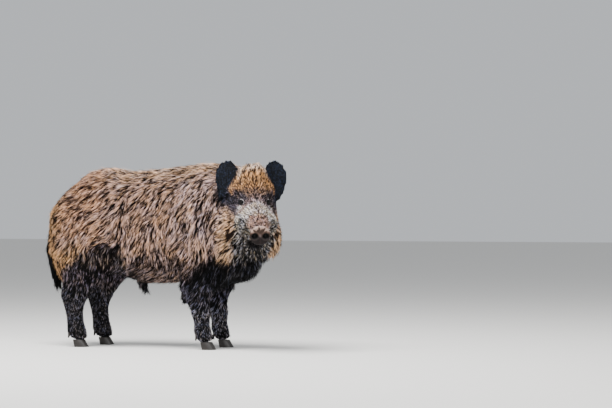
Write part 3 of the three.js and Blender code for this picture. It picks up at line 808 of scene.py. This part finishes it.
# %% Length, width and height of each tuft
STRAY = 0.05  # share of bristles that stand out of the coat
STRAY_RISE = 9  # mm
THROAT_FRINGE = 26  # mm that loose bristle hangs out of the coat there
BELLY_FRINGE = 12
tuft_length = at_roots(length) * MM * rng.uniform(0.8, 1.15, count)
tuft_length = tuft_length * rng.uniform(0.85, 1.15, len(lock_leaders))[lock]
tuft_width = at_roots(width) * MM * rng.uniform(0.75, 1.25, count)
tuft_depth = at_roots(depth) * rng.uniform(0.85, 1.05, count)
tuft_depth = tuft_depth * rng.uniform(0.8, 1.12, len(lock_leaders))[lock]
on_ear = np.isin(root_part, [FLESH.index(name) for name in EARS])
stray = (rng.random(count) < STRAY) & ~on_ear
arched = np.maximum(tuft_depth, 0.16 * tuft_length)  # long hair arches even where the coat is thin
tuft_depth = np.where(on_ear, tuft_depth, arched) + stray * STRAY_RISE * MM * freedom
tuft_width[stray] *= 0.6
fringe = THROAT_FRINGE * ramp(0.30, 0.38, bx) * ramp(0.33, 0.37, bz) * ramp(0.52, 0.44, bz)
belly_side = BELLY_FRINGE * ramp(0.36, 0.31, bz) * ramp(-0.24, -0.18, bx)
fringe = fringe + belly_side * ramp(0.12, 0.08, bx)
tuft_depth += at_roots(fringe) * MM * rng.random(count) ** 1.5
curl = lock_chance() * 0.10 + strand_chance() * 0.06

# %% Lines of the tufts
STEPS = array(0, 0.55, 1)  # how far along the tuft its rings are
RISE = array(0, 0.78, 1)  # how much of the coat's depth each has climbed
ROOTED = 2 * MM  # a tuft starts this far under the hide


def at_rings(shares, amount):
    """An amount for each tuft, times a share for each of its rings."""
    return (shares[None] * amount[:, None])[..., None]


line = root[:, None] - normal[:, None] * ROOTED + forward[:, None] * at_rings(STEPS, tuft_length)
line = line + normal[:, None] * at_rings(RISE, tuft_depth + ROOTED)
line = line + aside[:, None] * at_rings(STEPS * (STEPS - 0.25), curl * tuft_length)
for leaders, bunch, strength in ((lock_leaders, lock, 0.22), (strand_leaders, strand, 0.8)):
    leader = line[leaders][bunch]
    near = np.linalg.norm(leader[:, 0] - line[:, 0], axis=1) < 4.5 * strand_size * strength / 0.8
    pull = strength * near * rng.uniform(0.5, 1.15, count) * np.clip(long_hair * 2.5, 0.35, 1)
    pull = pull * (1 - 0.8 * on_ear)
    line = line + (leader - line) * at_rings(array(0, 0.5, 1), pull)
print("tufts are", (tuft_length.min() / MM).round(1), "to", (tuft_length.max() / MM).round(1), "mm long")

# %% Tufts follow the curve of the body
MOST_DRAWN_IN = 18 * MM
hide_tree = BVHTree.FromPolygons(co.tolist(), triangles.tolist())
under_ring = {}
for ring in (1, 2):
    found = [hide_tree.find_nearest(p) for p in line[:, ring]]
    place, out = (np.array([f[n] for f in found]) for n in (0, 1))
    height = ((line[:, ring] - place) * out).sum(axis=1)
    excess = np.clip(height - RISE[ring] * tuft_depth, 0, MOST_DRAWN_IN)
    line[:, ring] -= out * excess[:, None]
    under_ring[ring] = place, out, triangles[[f[2] for f in found]]
excess = excess / MM
print("tips drawn in by up to", excess.max().round(1), "mm, on average", excess.mean().round(1))

# %% Tufts that would lie over an eye are left out
CLEAR_ALONG, CLEAR_OVER, CLEAR_UNDER = 15.5, 14.5, 10.5  # mm from the middle of the eye
over_eye = np.zeros(count, bool)
for side in SIDES:
    facing, along, up = EYE_AXES[side]
    from_eye = line - EYES[side]
    upward = from_eye @ up
    clear_high = np.where(upward > 0, CLEAR_OVER, CLEAR_UNDER)
    clear = np.hypot(from_eye @ along / CLEAR_ALONG, upward / clear_high) / MM
    over_eye |= ((clear < 1) & (from_eye @ facing > 0)).any(axis=1)
print(over_eye.sum(), "left out")

# %% [markdown]
# The coat is streaked: lines of pale bristle some four millimetres wide lie between dark ones and run
# with the hair. A random value for each small cube of space, averaged along the way of the coat through
# a place, gives just such lines. It is taken where each tuft's middle and tip lie, not at its root, so
# that tufts from different roots make one line together.

# %% Streaks
speckles = rng.random(1 << 16)


def streaks_at(ring, cell, reach):
    """A line of random value, a cell wide, that follows the coat for this far each way."""
    place, out, corners_there = under_ring[ring]
    flow = way_of_coat(place, out, lie[corners_there].mean(axis=1))[0]
    total = np.zeros(count)
    for step in np.linspace(-1, 1, 11):
        passed = place + flow * (step * reach)[:, None]
        i, j, k = np.floor(passed / cell[:, None] + 1000).astype(np.int64).T  # no cell is below 0
        total += speckles[(i * 73856093 ^ j * 19349663 ^ k * 83492791) & 0xFFFF]
    return (total - total.mean()) / total.std()


shade = at_roots(markings)
cell = np.where(long_hair > 0.5, 3.7, 2.2) * MM  # the lines' width in long and in short hair
reach = at_roots(length) * MM * 0.16
shade_at = {}
pale_at = {}
for ring, local in ((1, 0.7), (2, 0.85)):
    shade_at[ring] = shade * (1 - local) + markings[under_ring[ring][2]].mean(axis=1) * local
    few_pale = 0.75 * ramp(0.10, 0.02, shade_at[ring][:, 1].mean(axis=1))  # where the coat is dark
    streak = streaks_at(ring, cell, reach) + 0.2 * streaks_at(ring, cell * 4, reach * 2)
    streak = streak - few_pale - 0.08 * long_hair + 0.20 * rng.normal(size=count)
    pale_at[ring] = ramp(0.05, 0.45, streak)[:, None]
print("pale at", pale_at[2].mean().round(2), "of the tips")

# %% Colours of the tufts
MOST_PALE = 0.85  # real bristle is never whiter
GINGER = array(0.06, 0.0, -0.13)  # what a warm tuft has more of, and an ashen one less
tone = 1 + 0.08 * waves(root, 0.05, 3) + 0.05 * lock_chance()
tone = tone * (1 + 0.20 * strand_chance() + 0.12 * rng.normal(size=count))
bright = 1 + 0.45 * np.clip(long_hair, 0, 1)[:, None]  # long hair shades itself more
ring_colours = [shade[:, 0] * 0.3]
for ring, pale_part, dark_part in ((1, 1.6, 0.15), (2, 2.3, 0.2)):
    dark_hair, middle_hair, pale_hair = (shade_at[ring][:, n] for n in range(3))
    pale_hair = (pale_hair * 0.9 + middle_hair * 0.1) * bright * pale_part * pale_at[ring]
    ring_colours.append(pale_hair + dark_hair * dark_part * (1 - pale_at[ring]))
tuft_colours = np.stack(ring_colours, axis=1) * np.clip(tone, 0.4, 1.8)[:, None, None]
warmth = strand_chance() + 0.7 * lock_chance()
warmth = np.clip(warmth + 0.6 * waves(root, 0.07, 5), -2, 2)[:, None, None]
tuft_colours = np.maximum(tuft_colours * (1 + warmth * GINGER), 0)
tuft_colours *= MOST_PALE / np.maximum(tuft_colours.max(axis=2, keepdims=True), MOST_PALE)
print("tufts' mean colour", tuft_colours.mean(axis=(0, 1)).round(3))

# %% The unwrap that the tufts share
only(hide)
bpy.ops.object.mode_set(mode="EDIT")
bpy.ops.mesh.select_all(action="SELECT")
bpy.ops.uv.smart_project(angle_limit=math.radians(60), island_margin=0.002)
bpy.ops.object.mode_set(mode="OBJECT")
hide.data.uv_layers[0].name = "OFBake"
loops = np.empty(len(triangles) * 3, np.int32)
hide.data.loop_triangles.foreach_get("loops", loops)
unwrap = np.empty(len(hide.data.loops) * 2, np.float32)
hide.data.uv_layers[0].data.foreach_get("uv", unwrap)
root_uv = (unwrap.reshape(-1, 2)[loops.reshape(-1, 3)[home]] * weights[..., None]).sum(axis=1)
print("the unwrap covers", unwrap.min().round(2), "to", unwrap.max().round(2))

# %% Writing a mesh's colours
def colour_points(obj, name, colours):
    """Writes linear red, green and blue at each of a mesh's points, as a colour attribute."""
    layer = obj.data.color_attributes.new(name, "FLOAT_COLOR", "POINT")
    opaque = np.column_stack([colours, np.ones(len(colours))])
    layer.data.foreach_set("color", opaque.astype(np.float32).ravel())


# %% One mesh from many tufts
RING = 3  # points in a ring
TUFT_POINTS = 2 * RING + 1
TUFT_FACES = [(0, 2, 1)]
for n in range(RING):
    m = (n + 1) % RING
    TUFT_FACES += [(n, m, RING + m), (n, RING + m, RING + n), (RING + n, RING + m, 2 * RING)]
TUFT_FACES = np.array(TUFT_FACES)
SECTION = ((-1, -0.25), (0, 0.55), (1, -0.25))  # a ring's points, aside and out, in half widths
PATCH = 0.003  # how much of the unwrap a tuft takes


def grow(title, chosen):
    """Makes one mesh of the chosen tufts."""
    n = len(chosen)
    way = unit(line[chosen, 2] - line[chosen, 0])
    out = unit(normal[chosen] - (normal[chosen] * way).sum(axis=1)[:, None] * way)
    wide = np.cross(out, way)
    points = np.empty((n, TUFT_POINTS, 3))
    uv = np.empty((n, TUFT_POINTS, 2))
    for ring, size in ((0, 0.85), (1, 1.0)):
        half = tuft_width[chosen] * size / 2
        for corner, (a, b) in enumerate(SECTION):
            offset = wide * (a * half)[:, None] + out * (b * half)[:, None]
            points[:, ring * RING + corner] = line[chosen, ring] + offset
            uv[:, ring * RING + corner] = root_uv[chosen] + PATCH * array(a * 0.5, ring * 0.5)
    points[:, -1] = line[chosen, 2]
    uv[:, -1] = root_uv[chosen] + PATCH * array(0, 1)
    colours = np.empty((n, TUFT_POINTS, 3))
    colours[:, :RING] = tuft_colours[chosen, 0][:, None]
    colours[:, RING:-1] = tuft_colours[chosen, 1][:, None]
    colours[:, -1] = tuft_colours[chosen, 2]

    faces = (np.arange(n)[:, None, None] * TUFT_POINTS + TUFT_FACES[None]).reshape(-1, 3)
    mesh = bpy.data.meshes.new(title)
    mesh.vertices.add(n * TUFT_POINTS)
    mesh.vertices.foreach_set("co", points.ravel())
    mesh.loops.add(faces.size)
    mesh.loops.foreach_set("vertex_index", faces.ravel().astype(np.int32))
    mesh.polygons.add(len(faces))
    mesh.polygons.foreach_set("loop_start", np.arange(len(faces), dtype=np.int32) * 3)
    mesh.polygons.foreach_set("use_smooth", np.ones(len(faces), bool))
    mesh.update(calc_edges=True)
    unwrapped = mesh.uv_layers.new(name="OFBake")
    unwrapped.data.foreach_set("uv", uv.reshape(-1, 2)[faces.ravel()].astype(np.float32).ravel())
    piece = bpy.data.objects.new(title, mesh)
    bpy.context.scene.collection.objects.link(piece)
    colour_points(piece, "coat_colour", colours.reshape(-1, 3))
    return piece


# %% Coat pieces
TUFTS_IN_PIECE = 19000  # keeps each piece under 200,000 triangles
REGIONS = {
    "trunk": ("coat_body", ["trunk", "sheath"]),
    "neck": ("coat_body", ["neck"]),
    "face": ("coat_head", ["head"]),
    "jaw": ("coat_dark", ["lower_jaw"]),
    "ears": ("coat_ear", EARS),
    "tail": ("coat_dark", ["tail"]),
    "legs": ("coat_dark", LEGS),
}
coat = []
for region, (slot, parts) in REGIONS.items():
    members = np.flatnonzero(np.isin(root_part, [FLESH.index(name) for name in parts]) & ~over_eye)
    members = members[np.argsort(root[members, 0])]
    batches = np.array_split(members, math.ceil(len(members) / TUFTS_IN_PIECE))
    for n, batch in enumerate(batches):
        piece = grow(f"coat_{region}_{n + 1}" if len(batches) > 1 else f"coat_{region}", batch)
        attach(piece, "root")
        coat.append(piece)
    print(region, len(members), "tufts")

# %% [markdown]
# ## Bristle and skin
# A boar's winter bristle is stiff, dusty and dull. The coat's material takes its colour from the tufts,
# a little darker and lighter along each, and it is rough with hardly any gloss, so that the light on it
# stays soft. The hide has the same markings, darker, since little light reaches it, and fine pores that
# show on the snout and the lids.

# %% Bristle
SHADES_APART = 2.5 * MM
bristle, tree, shader = new_material("boar_bristle")
where = add_node(tree, "ShaderNodeTexCoord").outputs["Object"]
cloud = {"Scale": 1 / SHADES_APART, "Detail": 2.0, "Roughness": 0.6}
shades = add_node(tree, "ShaderNodeTexNoise", Vector=where, **cloud)
colour_by(tree, shader, "coat_colour", shades.outputs["Fac"], 0.82, 1.18)
shader.inputs["Roughness"].default_value = 0.62
shader.inputs["Specular IOR Level"].default_value = 0.10
for piece in coat:
    piece.data.materials.append(bristle)

# %% Hide
PORES_APART = 3 * MM  # real ones are finer; these are as coarse as it takes to show
# the colour of the painted highlight over the upper lid
LID_HIGHLIGHT = linear("cfc4c6")
under = np.clip(markings[:, 0] * 0.6 + markings[:, 1] * 0.12, 0, 1)
under = under * (1 - 0.9 * np.clip(dark_lid, 0, 1))[:, None]
# the painted lid highlight laid over the hide's colour
under = under + (LID_HIGHLIGHT - under) * np.clip(lid_highlight, 0, 1)[:, None]
colour_points(hide, "coat_colour", under)

skin, tree, shader = new_material("haired_skin")
where = add_node(tree, "ShaderNodeTexCoord").outputs["Object"]
cloud = {"Scale": 1 / PORES_APART, "Detail": 4.0, "Roughness": 0.65}
pores = add_node(tree, "ShaderNodeTexNoise", Vector=where, **cloud)
colour_by(tree, shader, "coat_colour", pores.outputs["Fac"], 0.7, 1.3)
rough = add_node(tree, "ShaderNodeBump", Strength=0.5, Distance=0.8 * MM, Height=pores.outputs["Fac"])
tree.links.new(rough.outputs["Normal"], shader.inputs["Normal"])
shader.inputs["Roughness"].default_value = 0.7
shader.inputs["Specular IOR Level"].default_value = 0.25
hide.data.materials.append(skin)
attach(hide, "root")
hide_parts(*FLESH)

# %% [markdown]
# ## Snout disc
# The disc is a bare, tough pad of skin and gristle with a raised rim, and it is moist. The solid for it
# is merged and remeshed finely, so that its facets melt into a soft rim. Then its edge is folded, a lip
# rises round each nostril, a groove runs down between them, and the nostrils are pressed in.

# %% Disc shape
DISC_VOXEL = 1.5 * MM
NOSTRIL_ASIDE, NOSTRIL_DOWN = 24.5 * MM, 2 * MM  # from the middle of the disc
NOSTRIL_WIDE, NOSTRIL_HIGH = 14.5 * MM, 12.5 * MM  # half of each
NOSTRIL_DEEP = 7  # mm
disc = copy_of(["snout_disc"], "wet_disc")
finish_with(disc, "REMESH", mode="VOXEL", voxel_size=DISC_VOXEL)
finish_with(disc, "SMOOTH", factor=0.5, iterations=6)
dx, dy, dz = in_head(points_of(disc)).T
nostril_up = (dz + NOSTRIL_DOWN) / NOSTRIL_HIGH
nostril = [np.hypot((dy - sign * NOSTRIL_ASIDE) / NOSTRIL_WIDE, nostril_up) for sign in SIDES.values()]
nostril = np.minimum(*nostril)  # 1 on the edge of either one
round_edge = np.hypot(dy / (46 * MM), (dz + 3 * MM) / (44 * MM))
around_disc = np.arctan2(dz, dy)
folded = 0.5 * np.sin(around_disc * 22 + 2 * np.sin(around_disc * 5)) * ramp(0.75, 0.92, round_edge)
lip = 1.8 * np.exp(-(((nostril - 1.15) / 0.22) ** 2))
groove = 2.2 * np.exp(-(((dy / (5 * MM)) ** 2))) * ramp(10, -12, dz / MM)
raised = folded + 0.5 * (lip - groove)
move_points(disc, points_of(disc) + normals_of(disc) * (raised * MM)[:, None])
pit = NOSTRIL_DEEP * ramp(1.0, 0.6, nostril) * ramp(-8, -4, dx / MM)
move_points(disc, points_of(disc) - HEAD_AXES[0] * (pit * MM)[:, None])
only(disc)
bpy.ops.object.shade_smooth()
print("disc", len(disc.data.polygons), "faces")

# %% Disc finish
# Moist skin: dark below, a pale rim above, black painted inside the nostrils as the shade in them, and a
# fine grain all over.
def layered(base, layers, count_of_points):
    """A base colour for each point, with others laid over it by an amount at each point."""
    colours = np.tile(linear(base), (count_of_points, 1))
    for amount, colour in layers:
        colours = colours * (1 - amount[:, None]) + linear(colour) * amount[:, None]
    return colours


lumps = 0.20 * np.sin(around_disc * 9 + 1) + 0.14 * np.sin(around_disc * 17)
pale_rim = ramp(0.70, 0.86, round_edge + lumps * 0.6) * ramp(0.006, 0.020, dz)
round_nostril = 0.5 * np.exp(-(((nostril - 1.40) / 0.22) ** 2))
disc_layers = (
    (ramp(0.004, -0.010, dz), "120a0a"),
    (pale_rim, "9c8276"),
    (round_nostril * ramp(0.0, 0.006, dz), "54413a"),
    (round_nostril * ramp(-0.006, -0.012, dz), "3a3130"),
    (0.6 * np.exp(-((dy / 0.005) ** 2 + ((dz + 0.002) / 0.006) ** 2)), "6a5b59"),
    (0.7 * np.exp(-((dy / 0.004) ** 2)) * ramp(-0.006, -0.02, dz), "1e1413"),
    (ramp(-0.036, -0.044, dz), "1a1213"),
    # black painted in the nostrils as the shade inside them
    (ramp(1.12, 0.92, nostril), "020101"),
    (ramp(-0.012, -0.018, dx) * ramp(0.9, 1.0, round_edge), "2a2020"),
)
colour_points(disc, "disc_colour", layered("34261f", disc_layers, len(dx)))

GRAIN_SIZE = 2.2 * MM
MOTTLE_SIZE = 9 * MM
gristle, tree, shader = new_material("wet_snout_skin")
where = add_node(tree, "ShaderNodeTexCoord").outputs["Object"]
grain = add_node(tree, "ShaderNodeTexVoronoi", Vector=where, Scale=1 / GRAIN_SIZE)
mottle = add_node(tree, "ShaderNodeTexNoise", Vector=where, Scale=1 / MOTTLE_SIZE, Detail=3.0)
colour_by(tree, shader, "disc_colour", mottle.outputs["Fac"], 0.65, 1.35)
pits = add_node(tree, "ShaderNodeBump", Strength=0.6, Distance=0.5 * MM, Height=grain.outputs["Distance"])
tree.links.new(pits.outputs["Normal"], shader.inputs["Normal"])
shader.inputs["Roughness"].default_value = 0.5
shader.inputs["Specular IOR Level"].default_value = 0.14
disc.data.materials.append(gristle)
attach(disc, "root")
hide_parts("snout_disc")

# %% [markdown]
# ## Eyes
# Small, dark and wet. Each is a ball with the clear front slightly raised, as on the real eye, with a
# pupil in a ring so dark a brown that both look black from a few metres away. It is modelled looking up,
# then turned to look outwards and ahead.

# %% Eyeballs
CLEAR_FRONT = 34  # degrees from the middle of the eye's front to the edge of its clear part
CLEAR_RISE = 0.5 * MM


def eye(side, sign):
    """One eyeball, turned in its socket."""
    bpy.ops.object.select_all(action="DESELECT")
    bpy.ops.mesh.primitive_uv_sphere_add(segments=40, ring_count=28, radius=EYE_RADIUS)
    ball = bpy.context.object
    ball.name = ball.data.name = f"eyeball_{side}"
    bpy.ops.object.mode_set(mode="EDIT")
    bpy.ops.mesh.select_mode(type="VERT")
    bpy.ops.mesh.select_all(action="DESELECT")
    bpy.ops.object.mode_set(mode="OBJECT")
    polar = np.degrees(np.arccos(np.clip(points_of(ball)[:, 2] / EYE_RADIUS, -1, 1)))
    ball.data.vertices.foreach_set("select", polar < CLEAR_FRONT)
    bpy.ops.object.mode_set(mode="EDIT")
    bpy.ops.transform.translate(value=(0, 0, CLEAR_RISE))
    bpy.ops.object.mode_set(mode="OBJECT")
    edge, ring, pupil = ramp(50, 42, polar), ramp(38, 30, polar), ramp(22, 18, polar)
    eye_layers = ((edge, "050303"), (ring, "0e0805"), (pupil, "010101"))
    colour_points(ball, "eye_colour", layered("0a0606", eye_layers, len(polar)))
    gaze = unit(array(0.80, 0.52 * sign, 0.28)) @ HEAD_AXES
    ball.rotation_euler = Vector(gaze).to_track_quat("Z", "Y").to_euler()
    ball.location = EYES[side]
    only(ball)
    bpy.ops.object.transform_apply(location=True, rotation=True, scale=True)
    bpy.ops.object.shade_smooth()
    return ball


# %% Eye finish
# Wet cornea over dark tissue: smooth, so a small sharp light shows in it.
FIBRES_APART = 0.8 * MM
wet_eye, tree, shader = new_material("wet_eye")
where = add_node(tree, "ShaderNodeTexCoord").outputs["Object"]
fibres = add_node(tree, "ShaderNodeTexNoise", Vector=where, Scale=1 / FIBRES_APART, Detail=3.0)
colour_by(tree, shader, "eye_colour", fibres.outputs["Fac"], 0.7, 1.3, span=(0, 1))
shader.inputs["Roughness"].default_value = 0.14
shader.inputs["Specular IOR Level"].default_value = 0.12
shader.inputs["Coat Weight"].default_value = 0.05
shader.inputs["Coat Roughness"].default_value = 0.03
for side, sign in SIDES.items():
    ball = eye(side, sign)
    ball.data.materials.append(wet_eye)
    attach(ball, "root")
    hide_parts(f"eye_{side}")

# %% [markdown]
# ## Hooves and dewclaws
# A pig walks on two horn-cased toes and carries two more behind them. Their solids have the right shape
# with hard edges, so copies are merged and their edges worn round with a bevel. The horn grows down from
# the coronet in fine rings.

# %% Horn finish
# Black horn, worn to a dull brown in patches, with rings that catch the light one by one.
WAVE_SIZE = 28 * MM  # its bands are about a third of this apart
WEAR_SIZE = 14 * MM
horn, tree, shader = new_material("hoof_horn")
where = add_node(tree, "ShaderNodeTexCoord").outputs["Object"]
wave = {"Scale": 1 / WAVE_SIZE, "Distortion": 2.5, "Detail": 2.0}
rings = add_node(tree, "ShaderNodeTexWave", {"bands_direction": "Z"}, Vector=where, **wave)
wear = add_node(tree, "ShaderNodeTexNoise", Vector=where, Scale=1 / WEAR_SIZE, Detail=4.0)
horn_colour = add_node(tree, "ShaderNodeMix", {"data_type": "RGBA"}, _0=wear.outputs["Fac"])
horn_colour.inputs[6].default_value = (*linear("0c0a09"), 1)
horn_colour.inputs[7].default_value = (*linear("241d19"), 1)
ridges = add_node(tree, "ShaderNodeBump", Strength=0.35, Distance=0.5 * MM, Height=rings.outputs["Fac"])
tree.links.new(horn_colour.outputs[2], shader.inputs["Base Color"])
tree.links.new(ridges.outputs["Normal"], shader.inputs["Normal"])
shader.inputs["Roughness"].default_value = 0.5

# %% Horn pieces
HORN = {"hooves": ("hoof_", 2.2 * MM), "dewclaws": ("dewclaw_", 1.6 * MM)}  # how far edges are worn
WORN_FROM = math.radians(35)  # edges this sharp or sharper
for title, (start, edge_width) in HORN.items():
    members = [name for name in nodes if name.startswith(start)]
    piece = copy_of(members, title)
    edge = {"width": edge_width, "limit_method": "ANGLE", "angle_limit": WORN_FROM}
    finish_with(piece, "BEVEL", segments=3, **edge)
    only(piece)
    bpy.ops.object.shade_smooth_by_angle(angle=math.radians(40))
    piece.data.materials.append(horn)
    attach(piece, "root")
    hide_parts(*members)
    print(title, len(piece.data.polygons), "faces")
